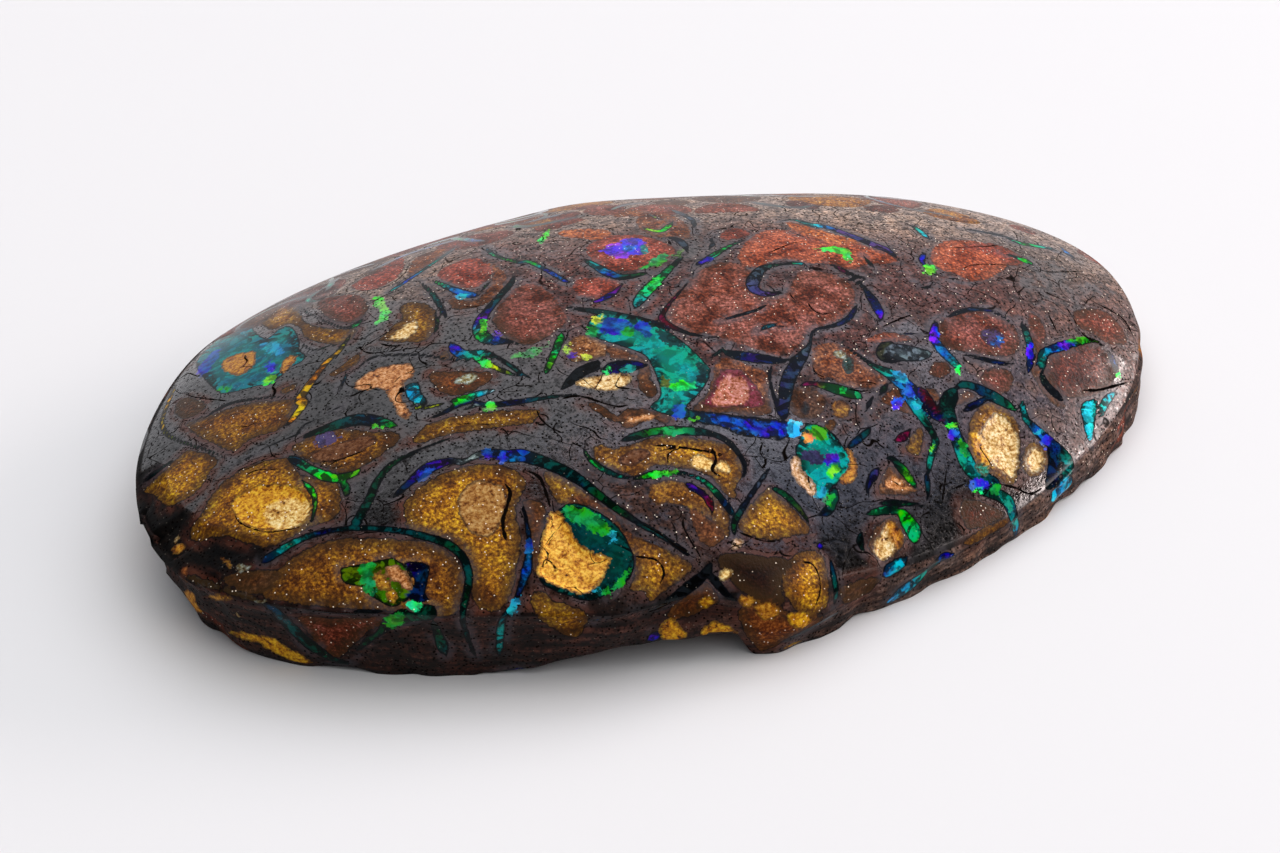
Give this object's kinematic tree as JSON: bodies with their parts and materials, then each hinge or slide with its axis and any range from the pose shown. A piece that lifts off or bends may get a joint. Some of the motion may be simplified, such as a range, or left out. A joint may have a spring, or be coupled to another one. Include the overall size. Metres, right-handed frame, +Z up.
{
  "type": "polished boulder opal specimen",
  "caption": "An oval slab of dark ironstone with gold nodules and veins of precious opal, domed and polished on top, rough at its side, flat underneath",
  "frame": {"origin": "Middle of the stone's bounding box, on the surface it rests on", "axes": "+X along the stone's length towards its thin right end, +Y towards its back, +Z up out of the polished dome"},
  "size_m": [0.0596, 0.0404, 0.0103],
  "materials": {
    "opal_ironstone": "polished dark ironstone with opal veins"
  },
  "bodies": {
    "root": {"opal_stone": "opal_ironstone"}
  },
  "joints": []
}
